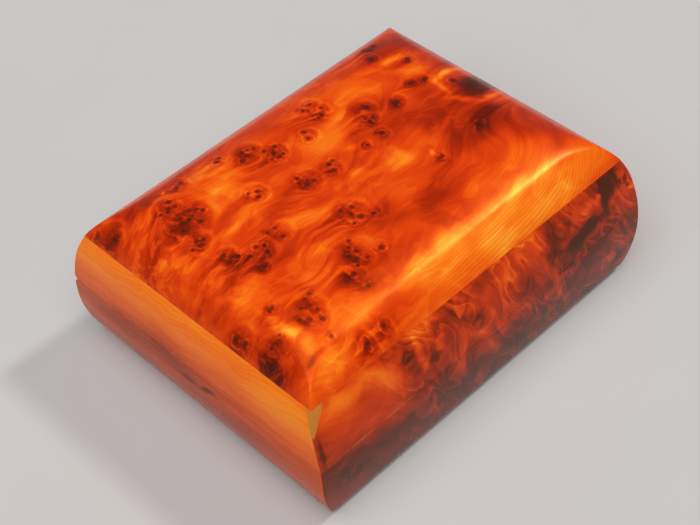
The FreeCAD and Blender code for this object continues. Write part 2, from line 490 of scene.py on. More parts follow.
def joined(x, y, z):
    """Vector of three values, the last of which comes from a node."""
    return value_of(z.tree, "ShaderNodeCombineXYZ", {0: x, 1: y, 2: z})


def parts(vector):
    node = add(vector.tree, "ShaderNodeSeparateXYZ", {0: vector})
    return [Value(socket) for socket in node.outputs]


def ramp(value, stops):
    """Colour ramp through (place, colour) stops."""
    node = add(value.tree, "ShaderNodeValToRGB", {0: value})
    elements = node.color_ramp.elements
    while len(elements) < len(stops):
        elements.new(0.5)
    for element, (place, colour) in zip(elements, stops):
        element.position = place
        element.color = (*colour, 1)
    return Value(node.outputs[0])


def blend_colour(share, first, second):
    """Mix of two colours, each from a node or three numbers."""
    colours = [colour if isinstance(colour, Value) else (*colour, 1) for colour in (first, second)]
    inputs = {0: share, 6: colours[0], 7: colours[1]}
    return value_of(share.tree, "ShaderNodeMix", inputs, 2, data_type="RGBA", clamp_factor=True)


def fade(value, start, end, low=0.0, high=1.0):
    """Smooth step of a value between two limits."""
    inputs = {0: value, 1: start, 2: end, 3: low, 4: high}
    return value_of(value.tree, "ShaderNodeMapRange", inputs, interpolation_type="SMOOTHSTEP")


def noise_at(vector, scale, detail=3.0, roughness=0.5, distortion=0.0):
    inputs = {"Vector": vector, "Scale": scale, "Detail": detail, "Roughness": roughness}
    return value_of(vector.tree, "ShaderNodeTexNoise", {**inputs, "Distortion": distortion})


def stretched(vector, scales):
    return value_of(vector.tree, "ShaderNodeVectorMath", {0: vector, 1: scales}, operation="MULTIPLY")


def object_place(tree):
    return value_of(tree, "ShaderNodeTexCoord", output="Object")


def attribute(tree, name, output="Fac"):
    return value_of(tree, "ShaderNodeAttribute", output=output, attribute_name=name)


def new_group(name, inputs, outputs):
    """Shader node group with named inputs and outputs. Returns what comes in and what goes out."""
    tree = bpy.data.node_groups.new(name, "ShaderNodeTree")
    for label, kind, default in inputs:
        socket = tree.interface.new_socket(label, in_out="INPUT", socket_type=kind)
        if default is not None:
            socket.default_value = default
    for label, kind in outputs:
        tree.interface.new_socket(label, in_out="OUTPUT", socket_type=kind)
    return named_values(tree.nodes.new("NodeGroupInput").outputs), tree.nodes.new("NodeGroupOutput").inputs


def use_group(tree, group, inputs):
    """Places a group with its own values, and returns its outputs by name."""
    return named_values(add(tree, "ShaderNodeGroup", inputs, node_tree=group).outputs)


FLOAT, VECTOR, COLOUR = "NodeSocketFloat", "NodeSocketVector", "NodeSocketColor"


def wood_fibres_group():
    """Fine streaks along the grain with open pores."""
    given, result = new_group(
        "wood_fibres",
        [("Grain", VECTOR, None), ("Fibre Length", FLOAT, 12 * MM), ("Fibre Width", FLOAT, 0.5 * MM)],
        [("Streaks", FLOAT), ("Pores", FLOAT), ("Relief", FLOAT)],
    )
    crosswise = 1.0 / given["Fibre Width"]
    place = stretched(given["Grain"], joined(1.0 / given["Fibre Length"], crosswise, crosswise))
    streaks = noise_at(place, 0.5, 4.0, 0.6, 0.3)
    pores = fade(noise_at(place, 1.7, 2.0, 0.5), 0.66, 0.74)
    put(result["Streaks"], streaks)
    put(result["Pores"], pores)
    put(result["Relief"], streaks * 0.5 - pores)
    return result[0].id_data


def burl_eyes_group():
    """Dark pith of the eyes, the broken ring round it and the shade around both. The eye distance
    counts in radii of the eye."""
    given, result = new_group(
        "burl_eyes",
        [("Grain", VECTOR, None), ("Eye Distance", FLOAT, 4.0)],
        [("Pith", FLOAT), ("Ring", FLOAT), ("Shade", FLOAT)],
    )
    grain = given["Grain"]
    reach = given["Eye Distance"] + (noise_at(grain, 760.0, 2.0, 0.6) - 0.5) * 1.3
    broken = fade(noise_at(grain, 380.0, 1.0), 0.40, 0.60)
    put(result["Pith"], fade(reach, 0.20, 1.05, 1.0, 0.0))
    put(result["Ring"], fade(abs(reach - 1.45), 0.0, 0.45, 1.0, 0.0) * broken)
    put(result["Shade"], fade(reach, 1.0, 3.2, 1.0, 0.0))
    return result[0].id_data


def growth_lines_group():
    """Thin dark lines of yearly growth, an even distance apart."""
    given, result = new_group(
        "growth_lines",
        [("Grain", VECTOR, None), ("Spacing", FLOAT, 1.1 * MM), ("Wander", FLOAT, 8.0)],
        [("Lines", FLOAT)],
    )
    slow = noise_at(stretched(given["Grain"], (35.0, 130.0, 130.0)), 1.0, 2.0)
    phase = parts(given["Grain"])[1] * (2 * math.pi) / given["Spacing"] + slow * given["Wander"]
    crest = (calc("SINE", phase) + 1.0) * 0.5
    put(result["Lines"], crest ** 2.0 - 0.375)
    return result[0].id_data


def lacquer_group():
    """Polished lacquer: faint smears, dust nibs and hairline scratches."""
    given, result = new_group(
        "rubbed_lacquer",
        [("Place", VECTOR, None), ("Gloss Roughness", FLOAT, 0.2), ("Smear", FLOAT, 0.06)],
        [("Roughness", FLOAT), ("Relief", FLOAT)],
    )
    place = given["Place"]
    smears = (noise_at(place, 55.0, 4.0, 0.6, 0.4) - 0.5) * given["Smear"]
    scratch = fade(noise_at(stretched(place, (90.0, 2400.0, 1300.0)), 1.0, 1.0), 0.72, 0.78)
    peel = noise_at(place, 260.0, 2.0)
    nibs = fade(noise_at(place, 1500.0, 0.0), 0.8, 0.86)
    put(result["Roughness"], given["Gloss Roughness"] + smears * 2.0 + scratch * 0.05)
    put(result["Relief"], peel * 0.6 + nibs * 0.4)
    return result[0].id_data


def painted_highlight_group():
    """Painted highlight: paler, patchy colour along the parting edges, where the light catches them."""
    given, result = new_group(
        "painted_edge_highlight",
        [("Colour", COLOUR, None), ("Edge", FLOAT, 0.0), ("Place", VECTOR, None), ("Highlight Colour", COLOUR, None)],
        [("Colour", COLOUR)],
    )
    patchy = fade(noise_at(given["Place"], 140.0, 4.0, 0.6), 0.38, 0.62)
    put(result["Colour"], blend_colour(given["Edge"] * patchy, given["Colour"], given["Highlight Colour"]))
    return result[0].id_data


def shader_tree(name):
    """New material with a plain shader, and its tree."""
    material = bpy.data.materials.new(name)
    material.use_nodes = True
    tree = material.node_tree
    tree.nodes.clear()
    shader = add(tree, "ShaderNodeBsdfPrincipled")
    output = add(tree, "ShaderNodeOutputMaterial")
    tree.links.new(shader.outputs[0], output.inputs[0])
    return material, tree, shader.inputs


def bump(height, depth, normal=None):
    """Relief of some depth, laid over a normal that is already there."""
    inputs = {"Height": height, "Strength": 1.0, "Distance": depth, "Normal": normal}
    return value_of(height.tree, "ShaderNodeBump", inputs)


# Colours of the woods, as linear values
BURL_TONES = [
    (0.00, (0.070, 0.007, 0.005)),
    (0.18, (0.170, 0.009, 0.003)),
    (0.38, (0.450, 0.022, 0.002)),
    (0.55, (0.700, 0.048, 0.003)),
    (0.70, (0.850, 0.098, 0.005)),
    (0.85, (0.940, 0.200, 0.010)),
    (1.00, (0.990, 0.400, 0.035)),
]
PLAIN_TONES = [
    (0.00, (0.120, 0.014, 0.008)),
    (0.30, (0.460, 0.044, 0.006)),
    (0.60, (0.800, 0.100, 0.005)),
    (0.85, (0.960, 0.175, 0.006)),
    (1.00, (0.990, 0.260, 0.012)),
]
INSIDE_TONES = [(0.0, (0.20, 0.050, 0.014)), (0.5, (0.42, 0.13, 0.035)), (1.0, (0.60, 0.22, 0.065))]
PALE_TONES = [(0.0, (0.36, 0.090, 0.006)), (0.5, (0.56, 0.180, 0.010)), (1.0, (0.68, 0.270, 0.025))]
BOTTOM_TONES = [(0.0, (0.22, 0.080, 0.026)), (0.5, (0.44, 0.19, 0.070)), (1.0, (0.60, 0.30, 0.120))]
BURL_PITH = (0.062, 0.008, 0.004)
PLAIN_PITH = (0.050, 0.010, 0.006)


def polish(surface, bending, tint, coat, coat_roughness, metallic=0.0):
    """Plain numbers of a lacquer, set on the shader itself."""
    surface["Specular IOR Level"].default_value = 0.5
    surface["IOR"].default_value = bending
    surface["Specular Tint"].default_value = (*tint, 1)
    surface["Coat Weight"].default_value = coat
    surface["Coat Roughness"].default_value = coat_roughness
    surface["Coat IOR"].default_value = 1.5
    surface["Metallic"].default_value = metallic


def lacquered(tree, surface, groups, colour, fibres, highlight_colour, gloss, smear, pits=None):
    """Painted highlight along the parting edges, and lacquer over a wood of some colour, with its relief."""
    place = object_place(tree)
    highlit = use_group(tree, groups["parting_highlight"], {
        "Colour": colour, "Edge": attribute(tree, "edge"), "Place": place, "Highlight Colour": (*highlight_colour, 1)})
    lacquer = use_group(tree, groups["lacquer"], {"Place": place, "Gloss Roughness": gloss, "Smear": smear})
    rough, relief = lacquer["Roughness"], None
    if pits is not None:
        rough = rough + pits * 0.12
        relief = bump(pits * -1.0, 0.05 * MM)
    relief = bump(fibres["Relief"], 0.006 * MM, relief)
    put(surface["Base Color"], highlit["Colour"])
    put(surface["Roughness"], rough)
    put(surface["Normal"], bump(lacquer["Relief"], 0.012 * MM, relief))


def burl_material(groups):
    """Root burl: flames, curls and growth lines over the figure stored on the boards."""
    material, tree, surface = shader_tree("burl_lacquered")
    grain = attribute(tree, "grain", "Vector")
    place = object_place(tree)
    fibres = use_group(tree, groups["fibres"], {
        "Grain": grain, "Fibre Length": 9 * MM, "Fibre Width": 0.45 * MM})
    growth = use_group(tree, groups["growth"], {"Grain": grain, "Spacing": 0.9 * MM, "Wander": 3.0})
    eyes = use_group(tree, groups["eyes"], {"Grain": grain, "Eye Distance": attribute(tree, "eyes")})
    flames = noise_at(stretched(grain, (45.0, 120.0, 120.0)), 1.0, 2.0, 0.45, 0.5)
    veins = noise_at(stretched(grain, (26.0, 700.0, 700.0)), 1.0, 3.0, 0.55, 0.15)
    streams = noise_at(stretched(grain, (40.0, 340.0, 340.0)), 1.0, 2.0, 0.5, 0.2)
    blocks = noise_at(stretched(grain, (62.0, 95.0, 60.0)), 1.0, 2.0, 0.5, 1.1)
    waves = noise_at(stretched(grain, (26.0, 95.0, 40.0)), 1.0, 1.5, 0.4, 0.5)
    mottle = noise_at(place, 430.0, 2.5, 0.55, 0.6)
    patches = fade(noise_at(place, 75.0, 1.0), 0.42, 0.60)
    fold = calc("FRACT", waves * 7.0)
    ridges = (1.0 - fold) ** 2.5 * fade(fold, 0.0, 0.12) * patches
    value = (
        attribute(tree, "tone")
        + (flames - 0.5) * 0.40
        + (ridges - 0.1) * attribute(tree, "curl")
        + fade(blocks, 0.48, 0.53, -1.0, 1.0) * attribute(tree, "figure")
        - growth["Lines"] * (attribute(tree, "rings") * 0.06 + 0.015)
        + (veins - 0.5) * 0.12
        + (fibres["Streaks"] - 0.5) * 0.12
        + fade(streams, 0.43, 0.58, -0.25, 0.21) * attribute(tree, "tails")
        + (mottle * 0.7 - 0.40) * attribute(tree, "crowd")
        - eyes["Shade"] * 0.10
        + eyes["Ring"] * 0.20
    )
    colour = blend_colour(eyes["Pith"] * 0.85, ramp(value, BURL_TONES), BURL_PITH)
    # (0.85, 0.30, 0.06) is the colour of the painted highlight on the parting edges
    lacquered(tree, surface, groups, colour, fibres, (0.85, 0.30, 0.06), 0.27, 0.04, eyes["Pith"])
    polish(surface, 1.37, (1.0, 0.72, 0.13), 0.005, 0.05, 0.04)
    return material


def plain_material(groups):
    """Plain orange wood of the end boards, with fine lines along the grain."""
    material, tree, surface = shader_tree("plain_wood_lacquered")
    grain = attribute(tree, "grain", "Vector")
    fibres = use_group(tree, groups["fibres"], {
        "Grain": grain, "Fibre Length": 16 * MM, "Fibre Width": 0.4 * MM})
    growth = use_group(tree, groups["growth"], {"Grain": grain, "Spacing": 1.7 * MM, "Wander": 14.0})
    eyes = use_group(tree, groups["eyes"], {"Grain": grain, "Eye Distance": attribute(tree, "eyes")})
    bands = noise_at(stretched(grain, (9.0, 240.0, 60.0)), 1.0, 3.0, 0.55, 0.25)
    clouds = noise_at(stretched(grain, (22.0, 60.0, 40.0)), 1.0, 3.0, 0.5, 0.3)
    value = (
        attribute(tree, "tone")
        + (bands - 0.5) * 0.45
        + (clouds - 0.5) * 0.35
        - growth["Lines"] * 0.09
        + (fibres["Streaks"] - 0.5) * 0.28
    )
    colour = blend_colour(eyes["Pith"] * 0.85, ramp(value, PLAIN_TONES), PLAIN_PITH)
    # (0.92, 0.42, 0.10) is the colour of the painted highlight on the parting edges
    lacquered(tree, surface, groups, colour, fibres, (0.92, 0.42, 0.10), 0.28, 0.05)
    polish(surface, 1.34, (1.0, 0.70, 0.16), 0.005, 0.06, 0.04)
    return material


def sawn_material(groups, name, tones, roughness, coat, turn=0.0):
    """Planed wood that reads object coordinates: the inside, the thin bottom and the patch."""
    material, tree, surface = shader_tree(name)
    place = object_place(tree)
    grain = value_of(tree, "ShaderNodeMapping", {"Vector": place, "Rotation": (0, 0, turn)})
    fibres = use_group(tree, groups["fibres"], {
        "Grain": grain, "Fibre Length": 14 * MM, "Fibre Width": 0.5 * MM})
    bands = noise_at(stretched(grain, (10.0, 150.0, 150.0)), 1.0, 3.0, 0.55, 0.4)
    value = (bands - 0.5) * 0.9 + 0.5 + (fibres["Streaks"] - 0.5) * 0.45
    lacquer = use_group(tree, groups["lacquer"], {
        "Place": place, "Gloss Roughness": roughness, "Smear": 0.08})
    put(surface["Base Color"], blend_colour(fibres["Pores"] * 0.35, ramp(value, tones), tones[0][1]))
    put(surface["Roughness"], lacquer["Roughness"])
    put(surface["Normal"], bump(fibres["Relief"], 0.02 * MM))
    polish(surface, 1.45, (1.0, 1.0, 1.0), coat, 0.2)
    return material


def metal_material(groups, name, bright, dull, roughness):
    """Drawn and lightly tarnished metal of the hinges."""
    material, tree, surface = shader_tree(name)
    place = object_place(tree)
    drawn = noise_at(stretched(place, (150.0, 5200.0, 5200.0)), 1.0, 3.0, 0.6)
    tarnish = fade(noise_at(place, 320.0, 4.0, 0.6, 0.5), 0.36, 0.66)
    lacquer = use_group(tree, groups["lacquer"], {
        "Place": place, "Gloss Roughness": roughness, "Smear": 0.12})
    put(surface["Base Color"], blend_colour(drawn * 0.35, blend_colour(tarnish, bright, dull), dull))
    put(surface["Roughness"], lacquer["Roughness"])
    put(surface["Normal"], bump(drawn, 0.008 * MM))
    surface["Metallic"].default_value = 1.0
    return material


# Figure of the woods, written in millimetres on each board's face

# Eyes of the burl on the domed board: place along the box, place towards the back, radius
TOP_EYES = [
    (-76.5, 52, 1.4), (-74, 43.5, 1.8), (-47.5, 41, 1.6), (-44.5, 42, 1.2), (-29, 40, 1.3),
    (-27, 41.3, 1.3), (-54.3, 36.8, 1.2), (-60, 34.5, 0.9), (-57.5, 33.6, 0.9), (-54.3, 33.3, 1.0),
    (-57, 27.2, 1.1), (-52, 28, 1.2), (-50, 26.5, 0.9), (-55.5, 24.7, 1.0), (-53.3, 25.2, 0.8),
    (-49, 24.5, 1.1), (-53, 21, 1.4), (-62.3, 26, 0.9), (-63, 23.2, 0.7), (-59.5, 22.7, 0.8),
    (-63, 14.2, 1.1), (-60.3, 15.2, 0.8), (-59.8, 12.8, 1.1), (-57.8, 14, 1.0), (-33, 18.5, 1.0),
    (-31.8, 14.8, 1.2), (-30, 17.2, 1.1), (-22.8, 32.6, 1.2), (-19.9, 36.2, 1.1), (-17.8, 35.7, 1.0),
    (-15.9, 34.8, 1.0), (-14.5, 30.7, 1.1), (-10.2, 29.8, 1.1), (-12.6, 27.2, 1.2), (-15.4, 25.2, 1.0),
    (-12.5, 24.3, 1.1), (-10.8, 24.6, 0.9), (-16.5, 11.3, 1.1), (-14.6, 8, 0.9), (-13.2, 6.2, 1.1),
    (-16.8, 6.3, 0.8), (-4, 8.2, 1.1), (-1.8, 8.7, 1.1), (-4.7, 4.5, 1.2), (-58.3, 3.3, 1.2),
    (-57, 0.8, 1.0), (-59, -0.7, 0.9), (-55.5, -1, 0.9), (-52.8, -4, 1.0), (-48.6, -2.4, 1.1),
    (-46.2, -3.9, 1.0), (-50.8, -8, 1.1), (-47.4, -7, 1.0), (-52.5, -11, 1.2), (-41.5, -0.3, 0.9),
    (-38.3, -0.7, 1.1), (-38.8, -5.5, 1.2), (10, 36.3, 1.3), (14.3, 37.2, 1.2), (11.2, 35, 0.9),
    (15.6, 32.4, 1.1), (12.9, 29.4, 1.7), (2.2, 27.3, 1.4), (0.7, 23.6, 1.5), (26.4, 21.6, 0.8),
    (27, 19.9, 0.9), (21.9, 15.8, 0.8), (21.8, 13.2, 1.0), (24.2, 14.3, 0.9), (36.3, 13.6, 1.5),
    (47.6, 17, 1.2), (53.2, 15.2, 1.3), (57.8, 28.3, 1.3), (48.6, 39.3, 1.2), (52, 47, 1.2),
    (55.5, 45.3, 1.4), (59.8, 7, 1.7), (12.3, 5, 1.2), (20.6, 5.8, 1.2), (-17.6, -11.5, 1.2),
    (-13.6, -13, 1.2), (-16.4, -15.7, 1.0), (-18.5, -19.3, 1.0), (-14.8, -18.6, 1.4), (-10.8, -20.8, 1.0),
    (-25.8, -23.7, 1.0), (-28, -26, 0.9), (-30.8, -29, 1.0), (-27.3, -29, 1.1), (-30.2, -31.7, 1.3),
    (-26.7, -33.8, 1.1), (-31.5, -34, 0.8), (-20.5, -34, 1.3), (-35.5, -35.8, 1.1), (-35, -42, 1.2),
    (-63.3, -25.3, 1.2), (-51.3, -31, 1.4), (-57.1, -33.5, 1.0), (-54.3, -35, 1.0), (-60.6, -36, 0.9),
    (-58.2, -38.8, 1.3), (-54, -37.7, 0.9), (-55.3, -41.1, 1.2), (-75.5, -20.5, 1.2), (-75.2, -24.8, 1.0),
    (-72.3, -34.5, 1.0), (-68, -34.2, 0.9), (-75, -38, 1.2), (-76.8, -43, 1.2), (-57.5, -47.3, 1.0),
    (-48.7, -54.5, 1.3), (-40.3, -53.8, 1.2), (25.8, -18.8, 1.1), (47.8, -17.2, 1.6),
]

# Knots that the grain flows round: place, radius
TOP_KNOTS = [
    (-56, 25, 9), (-60, 14, 4.5), (-57, 35, 4), (-46, 41.5, 3.5), (-28, 40.5, 3), (-19, 34.5, 5),
    (-12.5, 27, 4.5), (1.5, 25.5, 3.5), (-31.5, 17, 4), (-15, 7.5, 5), (-4, 6.5, 3.2), (12, 36, 4),
    (13.8, 30.5, 3.5), (-57.5, 1, 3.5), (-49.5, -5, 5.5), (-39, -3, 4.5), (-53, -11.3, 3),
    (-16, -15, 5.5), (-28.5, -29.5, 6), (-35.5, -36, 3.5), (-20.5, -34, 2.5), (-57, -37, 6),
    (-76, -22, 4), (-73, -36, 5.5), (-57.5, -47.5, 2), (-48.7, -55, 3.5), (-40, -55, 3), (26, 20.5, 3.5),
    (22.5, 14.3, 3.5), (36.2, 13.6, 3), (47.5, 17, 2.2), (53.3, 15.2, 2.4), (57.8, 28, 2.4),
    (49, 39, 2.6), (54, 46, 3.5), (12.3, 5, 2.4), (20.8, 5.5, 2.6), (25.8, -18.8, 1.8),
    (47.8, -17.2, 1.5), (-63.3, -25.3, 1.8), (-51.3, -31, 2.0), (-75, 46, 5),
]

# Broad lights and darks of the domed board: place, half sizes, turn in degrees, strength. The rows at (30,
# -53) and (25, -46) are a painted highlight along the front shoulder, and the row at (-75, 0) is painted
# shade along the left shoulder.
TOP_TONES = [
    (-40, 24, 9, 6, 20, 0.20), (-32, 34, 8, 4, 30, 0.14), (-38, 11, 14, 2.5, 3, 0.14),
    (3, 18, 8, 6, 0, 0.22), (14, 23, 6, 4, 0, 0.20), (30, 31, 12, 8, 0, 0.14),
    (15, -9.5, 6, 4.5, 0, 0.28), (27, -6, 5, 4, 0, 0.14), (-28, -5, 8, 4, -20, 0.14),
    (-64, -14, 6, 4, 0, 0.20), (-65.5, -36, 1.8, 11, 4, 0.24), (-45, -29, 5, 5, 0, 0.20),
    (-32, -19, 12, 3, 0, 0.12), (-47, -46, 10, 4, 0, 0.24), (-10, -47, 16, 4, 0, 0.20),
    # The first row here, at (30, -53), is a painted highlight along the front shoulder
    (30, -53, 46, 6, 0, 0.30), (-62, -53.5, 8, 3.5, 0, 0.26), (55, 22.5, 5, 3.5, 0, 0.24),
    (53, 32, 5, 1.8, -20, 0.28), (65, 13.5, 11, 1.4, 5, 0.28), (53.5, 8, 1.2, 6, -8, 0.22),
    # The last row here, at (25, -46), is a painted highlight along the front shoulder
    (53.5, -3, 1.1, 5, 35, 0.26), (63, -8.2, 7, 1.1, 0, 0.30), (25, -46, 36, 2.4, 0, 0.16),
    (-73, 15, 5, 6, 0, 0.20), (-58, 9, 12, 1.8, 5, 0.14), (8, 7, 4, 2, -40, 0.16),
    (50, -38, 12, 4, 0, 0.10), (26, -37, 12, 4, 0, 0.10), (-65, -1, 4, 3, 0, 0.16),
    (-36, 41, 7, 2.5, 25, 0.14), (25.3, -15.5, 0.9, 2.2, 0, 0.26), (0, -1, 3, 2, 40, 0.16),
    (67, 0, 10.5, 6.4, 0, -0.52), (45, -5, 13, 17, 20, -0.20), (42, -20, 14, 6, 0, -0.18),
    (10, -33, 16, 6, 20, -0.20), (-8, -25, 7, 7, 0, -0.18), (19, 10, 11, 7, -30, -0.14),
    # The last row here, at (-75, 0), is painted shade along the left shoulder
    (57, 40, 10, 6, 0, -0.24), (70, 32, 6, 12, 0, -0.18), (-75, 0, 4, 26, 0, -0.07),
    (-63, 46, 10, 4, 0, -0.24), (-40, 46, 12, 3, 10, -0.16), (-73, -38, 6, 9, 0, -0.18),
    (-55, -6, 12, 5, -25, -0.16), (-57, 24, 11, 7, 0, -0.03), (-35, -39, 9, 4, -35, -0.20),
    (-20, -38, 9, 4, 0, -0.12), (67, 18.5, 8, 2.6, 15, -0.22), (55, -13, 7, 5, 0, -0.16),
    (62, -28, 11, 14, 0, -0.18), (30, 18, 5, 4, 0, -0.12), (47, 10, 6, 5, 0, -0.14),
    (-52.5, 41.8, 0.8, 0.6, 0, 0.5), (-66, -49, 3.5, 1, 0, -0.30), (-30, -14, 16, 1.6, 0, -0.08),
    (35, 0, 5, 6, 0, -0.08),
]

# The dark front board, lid and base in one figure: place along the box, height
FRONT_EYES = [
    (76.5, 47.3, 0.9), (77.8, 44, 1.1), (-69, 18.3, 0.9), (-65.5, 16.5, 0.7), (-3.5, 39, 0.4),
    (44, 30, 0.5),
]
FRONT_KNOTS = [
    (-19, 26, 3.4), (-34, 43.5, 5), (-24, 37, 3), (-3, 39, 4), (-9, 45, 3), (55, 39.5, 4), (66, 46, 4),
    (77, 46, 3), (-68, 18, 3.5), (44, 30, 3), (18, 12, 3.5), (74, 11, 4),
]
FRONT_TONES = [
    (-70, 50, 12, 4, 0, 0.34), (-49, 46, 11, 4, -35, 0.32), (-60, 40, 14, 5, -8, 0.14),
    (-31.5, 44, 1.6, 7, 8, 0.34), (-29, 52, 6, 2.6, 0, 0.30), (2, 42, 5, 6, 20, 0.16),
    (12, 47, 6, 3.5, -45, 0.16), (29, 45, 2, 8, 12, 0.17), (22, 50, 5, 3.5, 0, 0.14),
    (50, 50, 6, 3, -45, 0.16), (58, 46, 5, 3.5, 0, 0.20), (77, 47, 4, 6, 0, 0.24),
    (70, 19, 6, 9, 35, 0.14), (-5, 35, 5, 1.6, -40, 0.18), (-15, 24, 2, 6, 20, 0.12),
    (38, 22, 1.6, 12, 15, 0.14), (8, 24, 2, 8, 15, 0.08), (-19, 26, 4.6, 4.6, 0, 0.10),
    (62, 42, 9, 1.3, 12, 0.18), (43, 33, 2, 3, 0, 0.16), (-38.5, 41, 3, 6, 20, -0.04),
    (-80.4, 37, 0.9, 6, 0, -0.30), (60, 38, 24, 16, 0, -0.16), (-20, 46, 5, 4, 0, -0.12),
    (-8, 42, 5, 4, 0, 0.05), (20, 38, 5, 4, -50, -0.12), (36, 45, 3, 9, 0, -0.22),
    (54, 39.3, 7, 2.2, 10, -0.46), (64.3, 46, 1.5, 6, 0, -0.46), (69, 49, 5, 5, 0, -0.30),
    (46, 37, 4, 3, 0, -0.20), (-62, 22, 17, 7, 0, -0.12), (75, 10, 5, 4, 0, -0.18),
    (0, 10, 80, 12, 0, -0.06),
]


# The plain end boards: place towards the back, height
LEFT_TONES = [
    (45, 46, 18, 6, 0, 0.06), (-45, 42, 16, 9, 0, 0.10), (-36, 27, 18, 2, 2, 0.12),
    (-20, 52, 30, 3, 0, 0.08), (12, 33, 14, 7, 0, -0.16), (27, 27, 26, 5, 0, -0.12),
    (-15, 18, 30, 3, 0, -0.10), (30, 12, 20, 4, 0, -0.08), (1.5, 25.5, 3.4, 1.1, 0, -0.26),
    (-8.5, 25.6, 3.8, 1.2, -12, -0.38), (-4, 25.3, 9, 2.2, 0, -0.10),
]
RIGHT_EYES = [(-53, 46, 0.8), (-48, 47, 0.8)]
RIGHT_TONES = [
    (-40, 44, 18, 6, 0, 0.08), (30, 40, 22, 8, 0, 0.08), (0, 24, 30, 5, 3, -0.12),
    (-30, 14, 20, 3, 0, -0.08), (25, 31, 8, 1.2, 8, -0.22),
]


def warp(points, size, reach):
    """Slow wander of the places on a board, so that no light or dark is a plain oval."""
    result = np.empty_like(points)
    for k, point in enumerate(points):
        swirl = noise.turbulence_vector(Vector(point) / size, 3, False)
        result[k] = point + np.array(swirl) * reach
    return result


def rising(value, start, width):
    """From 0 at the start to 1 a width further on."""
    return np.clip((value - start) / width, 0, 1)


def figure_fields(across, up, eyes, knots, tones, base, sweep, curl=0.0):
    """Values of a burl figure at places on a board, in millimetres."""
    places = np.stack([across, up, np.full_like(across, SEED)], 1)
    moved = warp(places, 9.0, 1.6)
    wide = warp(places, 26.0, 4.0)
    right_part = rising(across, -24, 20)
    calm = rising(-up, 44, 5) * right_part
    wide = wide + (places - wide) * 0.9 * calm[:, None]
    x, y = moved[:, 0], moved[:, 1]
    run, cross = sweep(wide[:, 0], wide[:, 1])
    tails = np.zeros_like(x)
    tone = np.full_like(x, base)
    slope = sweep(np.array([0.0, 1.0]), np.array([0.0, 0.0]))[1]
    turn = math.atan2(slope[0] - slope[1], 1.0)
    for knot_x, knot_y, radius in knots:
        dx, dy = x - knot_x, y - knot_y
        distance = np.sqrt(dx ** 2 + dy ** 2)
        near = np.maximum(distance, radius) ** 2
        along = dx * math.cos(turn) + dy * math.sin(turn)
        beside = dy * math.cos(turn) - dx * math.sin(turn)
        cross = cross - 0.9 * radius ** 2 * beside / near
        run = run + 0.9 * radius ** 2 * along / near
        behind = np.clip(-along / radius, 0, None)
        width = radius * (0.95 + 0.05 * behind)
        tail = np.exp(-(beside / width) ** 2) * np.clip(0.4 - along / radius, 0, 1) * np.exp(-behind / 2.6)
        tails = np.maximum(tails, tail)
        rim = np.exp(-((distance - 1.25 * radius) / (0.22 * radius)) ** 2) * np.clip(along / distance, 0, 1)
        tone = tone + 0.14 * rim - 0.07 * np.exp(-(distance / radius) ** 2) - 0.05 * tail
    for tone_x, tone_y, half_x, half_y, degrees, strength in tones:
        lean = math.radians(degrees)
        dx, dy = x - tone_x, y - tone_y
        along = (dx * math.cos(lean) + dy * math.sin(lean)) / half_x
        beside = (dy * math.cos(lean) - dx * math.sin(lean)) / half_y
        tone = tone + strength * np.exp(-0.7 * (along ** 2 + beside ** 2) ** 1.5)
    nearest = np.full_like(x, 4.0)
    crowd = np.zeros_like(x)
    for eye_x, eye_y, radius in eyes:
        distance = np.sqrt((across - eye_x) ** 2 + (up - eye_y) ** 2)
        nearest = np.minimum(nearest, distance / radius)
        crowd = crowd + np.exp(-(distance / 3.2) ** 2)
    rings = np.maximum(
        0.5 * rising(across, 30, 20) * rising(-up, 12, 15),
        rising(-up, 48.5, 3) * right_part,
    )
    return {
        "run": run,
        "cross": cross,
        "tone": tone,
        "eyes": nearest,
        "crowd": 0.8 * (1 - np.exp(-0.9 * crowd)),
        "tails": tails,
        "curl": curl * np.ones_like(x),
        "rings": rings,
        "figure": (0.026 + 0.07 * curl) * (1 - np.clip(2 * rings, 0, 1)),
    }


def top_sweep(x, y):
    """Grain of the domed board: along the box, but swinging round to the back in the front right corner."""
    share = 0.5 - 0.5 * np.tanh((y + 12) / 7.0)
    ahead = np.maximum(x - 16, 0)
    down = np.maximum(-4 - y, 0)
    bend = (ahead ** 4 + down ** 4) ** 0.25
    return x - share * ahead + share * ahead * down / 45, (1 - share) * y - share * (bend + 4)


def front_sweep(x, y):
    """Grain of the front board: almost level at the near end, then steep, down towards the right."""
    bend = 5.0 * np.logaddexp(0, (x + 45) / 5.0)
    return 0.5 * x - 0.87 * y, 0.16 * x + 0.71 * bend + 0.5 * y


def end_sweep(x, y):
    """Grain of the end boards: along them, climbing slightly towards the front."""
    return x, y + 0.06 * x


def random_figure(span, height, count):
    """Eyes, knots and tones for a board that the photo doesn't show."""
    draw = np.random.default_rng(SEED)
    eyes, knots, tones = [], [], []
    for _ in range(count):
        x, y = draw.uniform(-span, span), draw.uniform(0.1, 0.95) * height
        radius = draw.uniform(2.5, 4.5)
        knots.append((x, y, radius))
        for _ in range(draw.integers(2, 6)):
            angle, reach = draw.uniform(0, 2 * math.pi), radius * draw.uniform(0.2, 0.9)
            eyes.append((x + reach * math.cos(angle), y + reach * math.sin(angle), draw.uniform(0.8, 1.4)))
    for _ in range(3 * count):
        tones.append((
            draw.uniform(-span, span), draw.uniform(0, height), draw.uniform(4, 14), draw.uniform(2, 6),
            draw.uniform(-60, 60), draw.uniform(-0.22, 0.24),
        ))
    return eyes, knots, tones


def store(mesh, name, values, kind="FLOAT", field="value"):
    layer = mesh.attributes.new(name, kind, "POINT")
    layer.data.foreach_set(field, np.asarray(values, np.float32).ravel())


def places_of(mesh):
    places = np.empty(len(mesh.vertices) * 3)
    mesh.vertices.foreach_get("co", places)
    return places.reshape(-1, 3)


